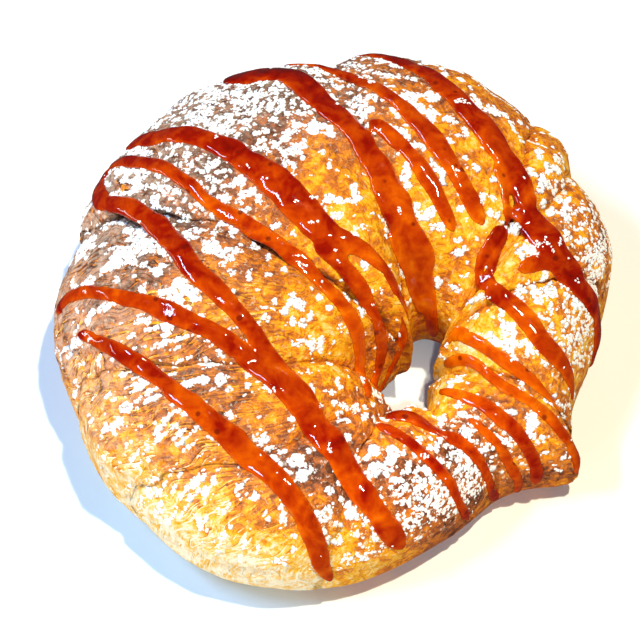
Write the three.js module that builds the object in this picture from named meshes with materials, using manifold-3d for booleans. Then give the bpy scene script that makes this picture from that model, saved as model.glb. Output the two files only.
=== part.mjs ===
import * as THREE from "three";
import { ParametricGeometry } from "three/addons/geometries/ParametricGeometry.js";
import { mergeVertices } from "three/addons/utils/BufferGeometryUtils.js";
import Module from "manifold-3d";

// A large curled croissant whose horns have baked together into a ring,
// with guava glaze drizzled across it in strokes.
// Lengths are mm. Angles are degrees about the middle of the hole: 0 is to the right, 90 to the back.

// Plan of the ring: reach of the outer edge and of the hole every 30 degrees, and the pointed horn end
const outerReach = [38, 53.5, 69.5, 79.5, 87, 88.5, 83, 73.5, 60, 42, 34, 35];
const holeReach = [6, 5.5, 13, 12.5, 5.5, 5, 7.5, 12.5, 13.5, 10, 5.5, 5];
const hornPoint = { reach: 9, at: 328, spread: 9.5 };

// Height of the rolled dough and shape of its section
const middleHeight = 52;
const hornHeight = 27;
const middleAt = 124;
const heightFall = 1.1;
const widestLevel = 0.4;
const flankPower = 2.3;
const crownPower = 2.1;
const footPower = 3.2;
const footDepth = 1.12;

// Wraps of dough, in order round the ring: each seam's angle at the crest, its slant between the two
// flanks, how far the lower wrap sinks at it, and which neighbour lies on top (1 the next, -1 the last)
const seams = [
  { at: 27, slant: -5, sink: 2.0, top: 1 },
  { at: 46, slant: 8, sink: 2.5, top: 1 },
  { at: 55, slant: 14, sink: 4.0, top: 1 },
  { at: 106, slant: -4, sink: 1.0, top: -1 },
  { at: 157, slant: 1, sink: 2.5, top: -1 },
  { at: 196, slant: -9, sink: 1.6, top: -1 },
  { at: 224, slant: -16, sink: 1.5, top: -1 },
  { at: 245, slant: 1, sink: 1.2, top: -1 },
  { at: 285, slant: 15, sink: 2.0, top: 0 },
  { at: 338, slant: -2, sink: 2.5, top: 1 },
];
const wrapSwell = 2.2;
const sinkFade = 5;
const lipRound = 0.6;
const lipFade = 1.5;
const ledgeDepth = 0.5;
const ledgesPerWrap = 3;

// Strokes of glaze, seen from above: places along each one, with its width there
const strokes = [
  [[-46, 68, 3.6], [-31, 64, 4.8], [-26, 58, 5.3], [-15, 44, 5.3], [-4, 23, 6.9], [2, 16, 4.8]],
  [[2, 16, 4.3], [2.5, 11, 2.8], [2, 5, 2.4]],
  [[-7, 21, 2.9], [-3, 15, 2.6], [0, 9, 1.8]],
  [[-12, 48, 3.3], [-1, 37, 3.8], [8, 23, 3.2]],
  [[-32, 72, 2.2], [-24, 69, 2.6], [-12, 60, 3.3], [6, 38, 5.0], [15, 24, 3.3]],
  [[-16, 76, 2.9], [-11, 75, 3.6], [-4, 70, 3.8], [14, 49, 6.7], [22, 39, 6.0], [25, 31, 4.1]],
  [[17, 39, 1.9], [19, 35, 2.4], [21, 25, 2.2]],
  [[24, 28, 5.3], [27, 26, 6.9], [31, 20, 6.7], [40, 12, 5.3], [44, 9, 4.2], [47, 6, 3.4]],
  [[31, 17, 4.3], [22, 14, 2.9]],
  [[19, 23, 2.9], [13, 18, 3.6], [13, 14, 3.4], [16, 9, 4.3]],
  [[15, 10, 3.8], [22, 6, 4.5], [28, -1, 4.5], [33, -5, 3.8], [35, -9, 2.4]],
  [[4, 5, 2.4], [8, 4, 3.4], [18, -4, 3.8], [25, -9, 3.0], [32, -15, 1.4]],
  [[6, 0, 2.9], [10, -2, 3.1], [18, -10, 3.1], [27, -16, 3.6], [34, -22, 2.9], [39, -26, 2.4]],
  [[4, -10, 2.6], [15, -16, 4.1], [28, -26, 3.8]],
  [[9, -18, 2.6], [19, -25, 3.3], [27, -29, 3.1]],
  [[-7, -18, 3.6], [-4, -17, 4.3], [0, -19, 3.6], [2, -21, 2.2], [6, -22, 3.1], [21, -32, 4.1]],
  [[-11, -21, 2.9], [-6, -24, 3.3], [3, -30, 3.3], [10, -36, 2.6]],
  [[-69, 51, 2.6], [-64, 49, 3.9], [-55, 45, 4.8], [-49, 42, 5.0], [-30, 25, 6.7], [-19, 13, 6.0]],
  [[-19, 13, 4.8], [-12, 10, 3.1], [-6, 4, 2.4], [-2, -1, 2.4]],
  [[-20, 12, 4.8], [-12, 5, 3.8], [-8, -2, 3.3], [-9, -8, 2.4], [-10, -11, 2.0]],
  [[-73, 48, 2.9], [-62, 39, 3.4], [-47, 24, 3.4], [-31, 13, 3.6], [-14, -6, 3.2], [-13, -15, 2.6]],
  [[-73, 48, 2.9], [-75, 44, 3.1], [-75, 37, 4.1], [-73, 31, 3.4]],
  [[-74, 34, 2.9], [-66, 27, 3.8], [-48, 4, 4.8], [-42, -2, 3.8], [-23, -26, 5.7]],
  [[-81, 10, 2.2], [-68, 4, 3.1], [-42, -10, 4.5], [-23, -27, 6.2], [-13, -40, 5.5], [-5, -46, 4.3]],
  [[-78, 0, 1.9], [-60, -15, 3.6], [-41, -31, 5.3], [-24, -48, 4.8], [-22, -56, 2.9]],
];
const glazeRise = 0.34;
const glazeStep = 8;
const glazeEnd = 0.2;
const glazeKeel = 3;
const glazeSides = 8;
const edgeShare = 0.93;
const runDown = 2.2;

const rowsPerWrap = 7;
const sectionColumns = 28;

const rad = THREE.MathUtils.degToRad;
const fullTurn = Math.PI * 2;
const wasm = await Module();
wasm.setup();

// Closed smooth curve through evenly spaced values
function ringBlend(values, angle) {
  const count = values.length;
  const place = THREE.MathUtils.euclideanModulo(angle / fullTurn, 1) * count;
  const first = Math.floor(place);
  const f = place - first;
  const [p0, p1, p2, p3] = [-1, 0, 1, 2].map((k) => values[(first + k + count) % count]);
  return p1 + 0.5 * f * (p2 - p0 + f * (2 * p0 - 5 * p1 + 4 * p2 - p3 + f * (3 * (p1 - p2) + p3 - p0)));
}

function outerEdge(angle) {
  const turned = angle - rad(hornPoint.at) + Math.PI;
  const away = Math.abs(THREE.MathUtils.euclideanModulo(turned, fullTurn) - Math.PI);
  const point = hornPoint.reach * Math.exp(-Math.pow(away / rad(hornPoint.spread), 1.5));
  return ringBlend(outerReach, angle) + point;
}

function innerEdge(angle) {
  return ringBlend(holeReach, angle);
}

function crestHeight(angle) {
  const fat = (1 + Math.cos(angle - rad(middleAt))) / 2;
  return hornHeight + (middleHeight - hornHeight) * Math.pow(fat, heightFall);
}

// A point of the ring: phi goes round the section from the outer flank over the crest to the hole
function ringPoint(angle, phi, raised) {
  const c = Math.cos(phi);
  const s = Math.sin(phi);
  const outer = outerEdge(angle);
  const inner = innerEdge(angle);
  const half = (outer - inner) / 2;
  const across = Math.sign(c) * Math.pow(Math.abs(c), 2 / flankPower);
  const level = s >= 0
    ? widestLevel + (1 - widestLevel) * Math.pow(s, 2 / crownPower)
    : widestLevel - widestLevel * footDepth * Math.pow(-s, 2 / footPower);
  const lift = raised * THREE.MathUtils.clamp((s + 0.6) / 0.8, 0, 1) * Math.sqrt(half / 30);
  const reach = (outer + inner) / 2 + across * half + lift * c;
  const height = Math.max(0, crestHeight(angle) * level + lift * Math.max(s, 0));
  return new THREE.Vector3(reach * Math.cos(angle), reach * Math.sin(angle), height);
}

function seamAngle(seam, phi) {
  return rad(seam.at + seam.slant * Math.cos(phi));
}

function wrapSpan(wrap, phi) {
  const start = seamAngle(seams[wrap], phi);
  const end = seamAngle(seams[(wrap + 1) % seams.length], phi);
  return { start, span: THREE.MathUtils.euclideanModulo(end - start, fullTurn) };
}

// Rise of a wrap above the plain ring: it swells between its seams, sinks where a neighbour
// covers it, and ends in a rounded lip where it lies on top, with ledges of layers between
function wrapRise(wrap, t, phi) {
  const { start, span } = wrapSpan(wrap, phi);
  const angle = start + span * t;
  const arc = span * (outerEdge(angle) + innerEdge(angle)) / 2;
  const layer = t * ledgesPerWrap + 0.2 * Math.sin(3 * phi + wrap);
  let rise = wrapSwell * Math.pow(Math.max(0, Math.sin(Math.PI * t)), 0.8);
  rise += ledgeDepth * (layer - Math.floor(layer) - 0.5) * Math.sin(Math.PI * t);
  const ends = [
    { seam: seams[wrap], side: -1, away: t * arc },
    { seam: seams[(wrap + 1) % seams.length], side: 1, away: (1 - t) * arc },
  ];
  for (const { seam, side, away } of ends) {
    const covered = seam.top * side >= 0;
    rise -= covered ? seam.sink * Math.exp(-away / sinkFade) : lipRound * Math.exp(-away / lipFade);
  }
  return rise;
}

// The crust as a closed sheet: each wrap has its own rows, and the face between two wraps is the lip
function crustPoint(u, v, target) {
  const phi = v * fullTurn;
  const place = THREE.MathUtils.euclideanModulo(u, 1) * seams.length;
  const first = Math.floor(place + 1e-6);
  const wrap = first % seams.length;
  const t = THREE.MathUtils.clamp((place - first) * rowsPerWrap / (rowsPerWrap - 1), 0, 1);
  const { start, span } = wrapSpan(wrap, phi);
  target.copy(ringPoint(start + span * t, phi, wrapRise(wrap, t, phi)));
}

// The finished surface at any angle and section angle
function surfacePoint(angle, phi) {
  for (let wrap = 0; wrap < seams.length; wrap += 1) {
    const { start, span } = wrapSpan(wrap, phi);
    const t = THREE.MathUtils.euclideanModulo(angle - start, fullTurn) / span;
    if (t <= 1) {
      return ringPoint(angle, phi, wrapRise(wrap, t, phi));
    }
  }
  return ringPoint(angle, phi, 0);
}

// Where a falling thread of glaze meets the ring: past either edge it runs down the flank
function landing(x, y) {
  const angle = Math.atan2(y, x);
  const outer = outerEdge(angle);
  const inner = innerEdge(angle);
  const half = (outer - inner) / 2;
  const share = (Math.hypot(x, y) - (outer + inner) / 2) / half;
  const near = Math.min(Math.abs(share), edgeShare);
  const past = Math.max(0, Math.abs(share) - edgeShare) * half;
  const slope = Math.acos(Math.pow(near, flankPower / 2)) - runDown * past / crestHeight(angle);
  const low = Math.max(slope, -0.5);
  return { angle, phi: share >= 0 ? low : Math.PI - low };
}

function outward(angle, phi) {
  const step = 0.05;
  const along = ringPoint(angle + step, phi, 0).sub(ringPoint(angle - step, phi, 0));
  const over = ringPoint(angle, phi + step, 0).sub(ringPoint(angle, phi - step, 0));
  return along.cross(over).normalize();
}

function solidOf(geometry) {
  const bare = geometry.clone();
  bare.deleteAttribute("normal");
  bare.deleteAttribute("uv");
  const merged = mergeVertices(bare, 1e-4);
  const vertProperties = new Float32Array(merged.attributes.position.array);
  const triVerts = new Uint32Array(merged.index.count);
  let used = 0;
  for (let k = 0; k < merged.index.count; k += 3) {
    const corners = merged.index.array.slice(k, k + 3);
    if (new Set(corners).size === 3) {
      triVerts.set(corners, used);
      used += 3;
    }
  }
  return new wasm.Manifold(new wasm.Mesh({ numProp: 3, vertProperties, triVerts: triVerts.slice(0, used) }));
}

// A bead of glaze: a rope laid along the stroke and sunk until only its back shows. Its keel goes
// deeper than it is round, so that no gap stays under it where it crosses a seam
function glazeBead(places) {
  const corners = places.map(([x, y, width]) => new THREE.Vector3(x, y, width));
  const line = new THREE.CatmullRomCurve3(corners, false, "centripetal");
  const steps = Math.max(6, Math.round(line.getLength() / glazeStep) + 4);
  const spot = (q) => {
    const { x, y, z: width } = line.getPointAt(THREE.MathUtils.clamp(q, 0, 1));
    const { angle, phi } = landing(x, y);
    return { width, place: surfacePoint(angle, phi), up: outward(angle, phi) };
  };
  const beadPoint = (u, v, target) => {
    const q = (1 - Math.cos(Math.PI * u)) / 2;
    const { width, place, up } = spot(q);
    const ahead = spot(q + 0.02).place.sub(spot(q - 0.02).place);
    const side = ahead.cross(up).normalize();
    const rise = glazeRise * width;
    const radius = (width * width / 4 + rise * rise) / (2 * rise);
    const girth = radius * Math.pow(Math.max(0, Math.sin(Math.PI * u) - 1e-9), glazeEnd);
    const round = v * fullTurn;
    const level = Math.sin(round) * (Math.sin(round) < 0 ? glazeKeel : 1);
    target.copy(place).addScaledVector(up, girth * level - (radius - rise));
    target.addScaledVector(side, girth * Math.cos(round));
  };
  return solidOf(new ParametricGeometry(beadPoint, steps, glazeSides));
}

const crust = new ParametricGeometry(crustPoint, seams.length * rowsPerWrap, sectionColumns);
let solid = solidOf(crust);
for (const stroke of strokes) {
  solid = solid.add(glazeBead(stroke));
}

// Glaze fills the pockets it bridges at a seam, so only the outer skin of the joined solid is kept
function outerSkin({ vertProperties, triVerts }) {
  const parent = Array.from({ length: vertProperties.length / 3 }, (_, k) => k);
  const rootOf = (k) => {
    let root = k;
    while (parent[root] !== root) {
      root = parent[root];
    }
    parent[k] = root;
    return root;
  };
  const corner = (k) => new THREE.Vector3().fromArray(vertProperties, 3 * triVerts[k]);
  for (let k = 0; k < triVerts.length; k += 3) {
    parent[rootOf(triVerts[k + 1])] = rootOf(triVerts[k]);
    parent[rootOf(triVerts[k + 2])] = rootOf(triVerts[k]);
  }
  const volumes = new Map();
  for (let k = 0; k < triVerts.length; k += 3) {
    const root = rootOf(triVerts[k]);
    const part = corner(k).dot(corner(k + 1).cross(corner(k + 2))) / 6;
    volumes.set(root, (volumes.get(root) ?? 0) + part);
  }
  const [skin] = [...volumes].sort((a, b) => b[1] - a[1])[0];
  const places = [];
  const index = [];
  const renumbered = new Map();
  for (const vertex of triVerts) {
    if (rootOf(vertex) !== skin) {
      continue;
    }
    if (!renumbered.has(vertex)) {
      renumbered.set(vertex, places.length / 3);
      places.push(...vertProperties.slice(3 * vertex, 3 * vertex + 3));
    }
    index.push(renumbered.get(vertex));
  }
  const geometry = new THREE.BufferGeometry();
  geometry.setAttribute("position", new THREE.Float32BufferAttribute(places, 3));
  geometry.setIndex(index);
  return geometry;
}

const geometry = outerSkin(solid.getMesh());

// The origin is under the middle of the whole piece, on the surface that it rests on
geometry.computeBoundingBox();
const box = geometry.boundingBox;
geometry.translate(-(box.min.x + box.max.x) / 2, -(box.min.y + box.max.y) / 2, -box.min.z);
geometry.computeVertexNormals();

const bakedCrust = new THREE.MeshStandardMaterial({ color: 0xc98436, roughness: 0.6, metalness: 0 });
const croissant = new THREE.Mesh(geometry, bakedCrust);
croissant.name = "croissant";

const pastry = new THREE.Group();
pastry.add(croissant);

export default pastry;
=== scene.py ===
import math
import bpy
import numpy as np
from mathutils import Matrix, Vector, kdtree
from mathutils.bvhtree import BVHTree


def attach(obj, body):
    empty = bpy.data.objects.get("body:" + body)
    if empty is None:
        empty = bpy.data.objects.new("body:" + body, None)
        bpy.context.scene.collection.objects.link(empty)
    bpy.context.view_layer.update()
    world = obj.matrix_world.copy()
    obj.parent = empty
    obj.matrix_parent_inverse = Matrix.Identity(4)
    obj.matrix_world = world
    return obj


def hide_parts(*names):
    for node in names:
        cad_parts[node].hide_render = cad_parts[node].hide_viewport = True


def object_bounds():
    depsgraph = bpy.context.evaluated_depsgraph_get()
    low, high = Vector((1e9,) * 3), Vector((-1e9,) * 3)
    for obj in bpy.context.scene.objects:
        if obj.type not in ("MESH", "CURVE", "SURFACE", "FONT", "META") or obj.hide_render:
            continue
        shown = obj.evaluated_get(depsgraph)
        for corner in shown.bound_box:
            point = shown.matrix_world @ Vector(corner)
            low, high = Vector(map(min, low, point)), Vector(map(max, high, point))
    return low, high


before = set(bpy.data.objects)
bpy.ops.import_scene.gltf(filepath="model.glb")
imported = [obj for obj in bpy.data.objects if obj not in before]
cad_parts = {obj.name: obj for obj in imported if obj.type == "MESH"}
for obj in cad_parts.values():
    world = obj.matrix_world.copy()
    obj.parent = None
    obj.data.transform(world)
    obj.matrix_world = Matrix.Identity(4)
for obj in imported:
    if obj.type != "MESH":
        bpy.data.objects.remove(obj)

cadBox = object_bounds()
mm = 0.001
fullTurn = 2 * math.pi
mergeReach = 0.000002                            # in m
hashSteps = (127.1, 311.7, 74.7, 43758.5453)     # uneven, so that the random field shows no rows
saltStep = 17.3


def clearSelection():
    if bpy.context.mode != "OBJECT":
        bpy.ops.object.mode_set(mode="OBJECT")
    bpy.ops.object.select_all(action="DESELECT")


def makeActive(obj):
    clearSelection()
    obj.select_set(True)
    bpy.context.view_layer.objects.active = obj


def applyModifier(obj, kind, **settings):
    makeActive(obj)
    mod = obj.modifiers.new(kind.lower(), kind)
    for key, value in settings.items():
        setattr(mod, key, value)
    bpy.ops.object.modifier_apply(modifier=mod.name)


# a flat grid bent to rows of places in mm
def bentGrid(places, name):
    rows, columns = places.shape[:2]
    clearSelection()
    bpy.ops.mesh.primitive_grid_add(x_subdivisions=columns - 1, y_subdivisions=rows - 1, size=0.1)
    grid = bpy.context.active_object
    grid.name = name
    grid.data.vertices.foreach_set("co", (places * mm).ravel())
    grid.data.update()
    return grid


# merges the edges of a bent grid where they meet, into one closed skin
def closeSkin(obj):
    makeActive(obj)
    bpy.ops.object.mode_set(mode="EDIT")
    bpy.ops.mesh.select_all(action="SELECT")
    bpy.ops.mesh.remove_doubles(threshold=mergeReach)
    bpy.ops.mesh.normals_make_consistent(inside=False)
    bpy.ops.object.mode_set(mode="OBJECT")
    bpy.ops.object.shade_smooth()


def writeValues(obj, name, values, kind="FLOAT", field="value"):
    layer = obj.data.attributes.new(name, kind, "POINT")
    layer.data.foreach_set(field, np.asarray(values, np.float32).ravel())


# a surface that things can be dropped on
def surfaceTree(obj):
    verts = [v.co for v in obj.data.vertices]
    return BVHTree.FromPolygons(verts, [p.vertices[:] for p in obj.data.polygons])


# smooth random field between 0 and 1, the same on every run
def grain(x, y, z, salt=0):
    x, y, z = (np.asarray(v, float) for v in (x, y, z))
    x, y, z = np.broadcast_arrays(x, y, z + saltStep * salt)
    xi, yi, zi = np.floor(x), np.floor(y), np.floor(z)
    fx, fy, fz = x - xi, y - yi, z - zi
    fx, fy, fz = fx * fx * (3 - 2 * fx), fy * fy * (3 - 2 * fy), fz * fz * (3 - 2 * fz)
    stepX, stepY, stepZ, stretch = hashSteps
    total = 0
    for a in (0, 1):
        for b in (0, 1):
            for c in (0, 1):
                h = np.sin((xi + a) * stepX + (yi + b) * stepY + (zi + c) * stepZ) * stretch
                h = h - np.floor(h)
                total = total + h * (fx if a else 1 - fx) * (fy if b else 1 - fy) * (fz if c else 1 - fz)
    return total


# the field at places in mm, with spots of about the given size
def grainAt(places, size, salt):
    return grain(*np.moveaxis(places / size, -1, 0), salt)


def smooth(low, high, value):
    q = np.clip((value - low) / (high - low), 0, 1)
    return q * q * (3 - 2 * q)


# the rolled ring, in mm and degrees about the middle of the hole: 0 to the right, 90 to the back
ring = {
    "outerReach": [38, 53.5, 69.5, 79.5, 87, 88.5, 83, 73.5, 60, 42, 34, 35],    # every 30 degrees
    "holeReach": [6, 5.5, 13, 12.5, 5.5, 5, 7.5, 12.5, 13.5, 10, 5.5, 5],
    "hornPoint": (9, 328, 9.5, 1.5),        # reach, where, spread, fall
    "heights": (52, 27, 124, 1.1),          # middle, horns, where the middle is, fall
    "widestLevel": 0.4,
    "flankPower": 2.3, "crownPower": 2.1, "footPower": 3.2, "footDepth": 1.12,
    "liftFrom": -0.6, "liftOver": 0.8,      # sine of phi where a rise sets in, and until it is full
    "usualHalf": 30,                        # half width of the roll where a rise counts in full
    "holePlace": (19.18, -14.65),           # middle of the hole from the part's origin
}
# seams between the wraps: angle at the crest, slant, sink of the lower wrap,
# which side is on top, how open it gapes
seams = [
    (27, -5, 2.0, 1, 0.2), (46, 8, 2.5, 1, 0.3), (55, 14, 4.0, 1, 0.7), (106, -4, 1.0, -1, 0.05),
    (157, 1, 2.5, -1, 0.6), (196, -9, 1.6, -1, 0.1), (224, -16, 1.5, -1, 0.1), (245, 1, 1.2, -1, 0.05),
    (285, 15, 2.0, 0, 0.1), (338, -2, 2.5, 1, 0.3),
]
wraps = {
    "wander": ((1.1, 3, 1.7), (0.7, 7, 2.9), (0.5, 17, 1)),     # reach, waves and shift of a seam's line
    "swell": 2.2, "swellPower": 0.8,
    "sinkFade": 5.0, "sinkLeast": 0.25, "sinkMore": 1.3, "sinkLong": 8,
    "jag": 1.8, "jagLong": 3.0, "fineJag": 1.0, "fineJagLong": 1.1,
    "layer": 0.5, "layerShare": 0.6,
    "lipRound": 0.6, "lipFade": 1.5, "curl": 0.7, "curlDown": 0.25, "curlLong": 4.0, "curlFade": 1.8,
    "tuck": 0.8, "fold": 1.5, "foldTurns": (5.5, 1.6),
}
# low crease where the front flank was folded: from angle to angle, section angles at its ends
crease = {"between": (212, 240), "low": -8, "high": 12, "wide": 3.4, "deep": 2.2, "fade": 0.25}
# broken edge of the flakes low on the front horn
brokenEdge = {"between": (276, 340), "fade": 6, "at": -3, "wide": 15, "deep": 3.6,
              "chip": 0.4, "chipLong": 3.4, "flake": 0.6, "flakeLong": 1.3}


def ringBlend(values, angle):
    values = np.asarray(values, float)
    count = len(values)
    place = (np.asarray(angle) / fullTurn) % 1 * count
    first = np.floor(place).astype(int)
    f = place - first
    p0, p1, p2, p3 = (values[(first + k) % count] for k in (-1, 0, 1, 2))
    return p1 + 0.5 * f * (p2 - p0 + f * (2 * p0 - 5 * p1 + 4 * p2 - p3 + f * (3 * (p1 - p2) + p3 - p0)))


def outerEdge(angle):
    reach, at, spread, fall = ring["hornPoint"]
    away = np.abs((angle - math.radians(at) + math.pi) % fullTurn - math.pi)
    return ringBlend(ring["outerReach"], angle) + reach * np.exp(-(away / math.radians(spread)) ** fall)


def innerEdge(angle):
    return ringBlend(ring["holeReach"], angle)


def crestHeight(angle):
    middle, horn, at, fall = ring["heights"]
    return horn + (middle - horn) * ((1 + np.cos(angle - math.radians(at))) / 2) ** fall


# phi runs round the section from the outer flank over the crest to the hole
def ringPoint(angle, phi, raised):
    c, s = np.cos(phi), np.sin(phi)
    outer, inner = outerEdge(angle), innerEdge(angle)
    half = (outer - inner) / 2
    across = np.sign(c) * np.abs(c) ** (2 / ring["flankPower"])
    w = ring["widestLevel"]
    level = np.where(s >= 0, w + (1 - w) * np.abs(s) ** (2 / ring["crownPower"]),
                     w - w * ring["footDepth"] * np.abs(s) ** (2 / ring["footPower"]))
    share = np.clip((s - ring["liftFrom"]) / ring["liftOver"], 0, 1)   # the base stays flat
    lift = raised * share * np.sqrt(half / ring["usualHalf"])
    reach = (outer + inner) / 2 + across * half + lift * c
    height = np.maximum(0, crestHeight(angle) * level + lift * np.maximum(s, 0))
    return np.stack([reach * np.cos(angle), reach * np.sin(angle), height], -1)


# phi from -180 to 180 degrees, 0 on the outer flank
def aboutFlank(phi):
    return (phi + math.pi) % fullTurn - math.pi


def seamAngle(k, phi):
    at, slant = seams[k % len(seams)][:2]
    wander = sum(reach * np.sin(waves * phi + shift * k) for reach, waves, shift in wraps["wander"])
    free = 0.25 + 0.75 * smooth(-0.95, -0.2, np.cos(phi))   # straighter in the hole
    return np.radians(at + slant * np.cos(phi) + free * wander)


# a value by place: on the outer flank, the crest and the hole side, every 30 degrees
def aroundBlend(table, angle, phi):
    c = np.cos(phi)
    early = ringBlend(table["early"], angle) if "early" in table else 0.0   # how soon the hole side begins
    outerShare, innerShare = smooth(0.1, 0.85, c), smooth(0.0, 0.7, early - c)
    crest = ringBlend(table["crest"], angle)
    value = crest + (ringBlend(table["outer"], angle) - crest) * outerShare
    return value + (ringBlend(table["inner"], angle) - value) * innerShare


# how strongly the layers of the dough show, and their lines in mm
flaky = {
    "outer": [0.4, 0.4, 0.4, 0.4, 0.5, 1.0, 1.5, 1.35, 0.7, 0.3, 0.6, 0.6],
    "crest": [0.4, 0.4, 0.4, 0.3, 0.3, 0.6, 0.9, 0.8, 0.4, 0.4, 0.5, 0.5],
    "inner": [0.5, 0.5, 0.5, 0.4, 0.4, 0.5, 0.5, 0.5, 0.5, 0.4, 0.4, 0.5],
    "apart": 9, "wave": 7, "long": 24, "lines": 3.5,
    "deep": 0.34, "deeperAtSeam": 0.3, "seamFade": 8,
}


# the slope down to a seam is stepped in layers
def steppedDown(rise, k, side, sink, away, along):
    jag = wraps["jag"] * (grain(along / wraps["jagLong"], k, 0, 3) - 0.5)
    jag = jag + wraps["fineJag"] * (grain(along / wraps["fineJagLong"], k, 0, 4) - 0.5)
    uneven = wraps["sinkLeast"] + wraps["sinkMore"] * grain(along / wraps["sinkLong"], k, side, 17)
    dip = sink * uneven * np.exp(-np.maximum(0, away + jag) / wraps["sinkFade"])
    level = dip / wraps["layer"]
    steps = np.floor(level) + smooth(0.5, 1.0, level - np.floor(level))
    share = wraps["layerShare"]
    return rise - (1 - share) * dip - share * wraps["layer"] * steps


# the lip on top is rounded and curls up here and there
def curledLip(rise, k, away, along):
    curl = wraps["curl"] * grain(along / wraps["curlLong"], k, 0, 5) - wraps["curlDown"]
    rise = rise - wraps["lipRound"] * np.exp(-away / wraps["lipFade"])
    return rise + curl * np.exp(-away / wraps["curlFade"])


# each flake rises and breaks off at its edge
def flakeRise(k, t, phi, arc, along, angle):
    over = t * arc / flaky["apart"]
    lines = grain(over + 0.5 * grain(along / flaky["wave"], over, k, 6), along / flaky["long"], k, 7)
    lines = (flaky["lines"] * lines) % 1.0 - 0.5
    near = np.minimum(t, 1 - t) * arc
    deep = flaky["deep"] + flaky["deeperAtSeam"] * np.exp(-near / flaky["seamFade"])
    return lines * aroundBlend(flaky, angle, phi) * deep


def creaseDepth(angle, phi):
    first, last = crease["between"]
    share = (np.degrees(angle) % 360 - first) / (last - first)
    lowLine = np.radians(crease["low"] + (crease["high"] - crease["low"]) * share)
    off = (aboutFlank(phi) - lowLine) / math.radians(crease["wide"])
    ends = smooth(0.0, crease["fade"], share) * smooth(1.0, 1 - crease["fade"], share)
    return crease["deep"] * ends * np.exp(-off ** 2)


def brokenRise(angle, phi):
    first, last = brokenEdge["between"]
    turn = np.degrees(angle) % 360
    off = (np.degrees(aboutFlank(phi)) - brokenEdge["at"]) / brokenEdge["wide"]
    ends = smooth(first, first + brokenEdge["fade"], turn) * smooth(last, last - brokenEdge["fade"], turn)
    rim = angle * outerEdge(angle)
    chips = brokenEdge["chip"] * grain(rim / brokenEdge["chipLong"], 0, 0, 15)
    chips = chips + brokenEdge["flake"] * grain(rim / brokenEdge["flakeLong"], phi * 2, 0, 16) - 0.5
    return brokenEdge["deep"] * chips * (ends * np.exp(-off ** 2))


# how far a wrap stands above the plain ring, t from its first seam to its last
def wrapRise(k, t, phi, span, angle):
    arc = span * (outerEdge(angle) + innerEdge(angle)) / 2
    along = phi * ((outerEdge(angle) - innerEdge(angle)) / 2)
    rise = wraps["swell"] * np.maximum(0, np.sin(np.pi * t)) ** wraps["swellPower"]
    bothEnds = ((seams[k], -1, t * arc), (seams[(k + 1) % len(seams)], 1, (1 - t) * arc))
    for (_, _, sink, top, _), side, away in bothEnds:
        if top * side >= 0:
            rise = steppedDown(rise, k, side, sink, away, along)
        else:
            rise = curledLip(rise, k, away, along)
    rise = rise + flakeRise(k, t, phi, arc, along, angle)
    holeSide = smooth(0.35, 0.9, -np.cos(phi))
    foldAround, foldOver = wraps["foldTurns"]
    rise = rise + wraps["fold"] * (grain(angle * foldAround, phi * foldOver, 0, 14) - 0.5) * holeSide
    return rise - creaseDepth(angle, phi) + brokenRise(angle, phi)


print("crust: ring", len(seams), "wraps")
crustSize = {
    "rows": 484, "fewestRows": 12, "evenRows": 0.8, "flakyRows": 0.4,
    "columns": 200, "upperShare": 0.8, "upperEnd": 0.35,        # the flanks and the crown get most columns
    "rough": ((1.8, 11, 8), (0.56, 3.1, 9), (0.24, 1.4, 10)),   # lumps, dimples, pits: height, size, salt
    "gapFade": 1.5,
}


# more rows where the ring is wide and its layers show
def crustRows():
    spans = np.array([(seams[(k + 1) % len(seams)][0] - seams[k][0]) % 360 for k in range(len(seams))])
    middles = np.radians([seams[k][0] + spans[k] / 2 for k in range(len(seams))])
    dense = crustSize["evenRows"] + crustSize["flakyRows"] * ringBlend(flaky["outer"], middles)
    want = spans * outerEdge(middles) * dense
    counts = [max(crustSize["fewestRows"], round(crustSize["rows"] * w / want.sum())) for w in want]
    counts[int(np.argmax(counts))] += crustSize["rows"] - sum(counts)
    return counts


def crustColumns():
    count, end = crustSize["columns"], crustSize["upperEnd"]
    upper = int(count * crustSize["upperShare"])
    return np.concatenate([np.linspace(-end, math.pi + end, upper, endpoint=False),
                           np.linspace(math.pi + end, fullTurn - end, count - upper, endpoint=False)])


def crustForm():
    phi = crustColumns()[None, :]
    tuck, fade = wraps["tuck"], crustSize["gapFade"]
    places, layers = [], []
    for k, count in enumerate(crustRows()):
        *_, startTop, startGape = seams[k]
        *_, endTop, endGape = seams[(k + 1) % len(seams)]
        t = np.linspace(0, 1, count)[:, None]
        start = seamAngle(k, phi)
        span = (seamAngle(k + 1, phi) - start) % fullTurn
        angle = start + span * t
        rise = wrapRise(k, t, phi, span, angle)
        middle = (outerEdge(angle) + innerEdge(angle)) / 2
        if startTop < 0:      # the covered edge goes in under its neighbour's lip
            angle = angle - (t < 0.001) * tuck * startGape / middle
        if endTop > 0:
            angle = angle + (t > 0.999) * tuck * endGape / middle
        half = (outerEdge(angle) - innerEdge(angle)) / 2
        plain = ringPoint(angle, phi, rise)
        rough = [high * (grainAt(plain, size, salt) - 0.5) for high, size, salt in crustSize["rough"]]
        lump, dimple, pit = rough
        places.append(ringPoint(angle, phi, rise + lump + (dimple + pit)))
        # painted shade: the crust beside a seam is darkened where it lies under the lip, more where the seam
        # gapes
        dark = 0 * angle      # how dark the gap at a seam is
        if startTop <= 0:
            dark = dark + startGape * np.exp(-t * span * middle / fade)
        if endTop >= 0:
            dark = dark + endGape * np.exp(-(1 - t) * span * middle / fade)
        values = (angle, phi, t * span * middle, phi * half, dark, np.full_like(angle, k))
        layers.append(np.stack(np.broadcast_arrays(*values), -1))
    return np.concatenate(places), np.concatenate(layers)


# the first row and the first column once more at the end
def roundAgain(values):
    values = np.concatenate([values, values[:1]])
    return np.concatenate([values, values[:, :1]], 1)


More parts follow.
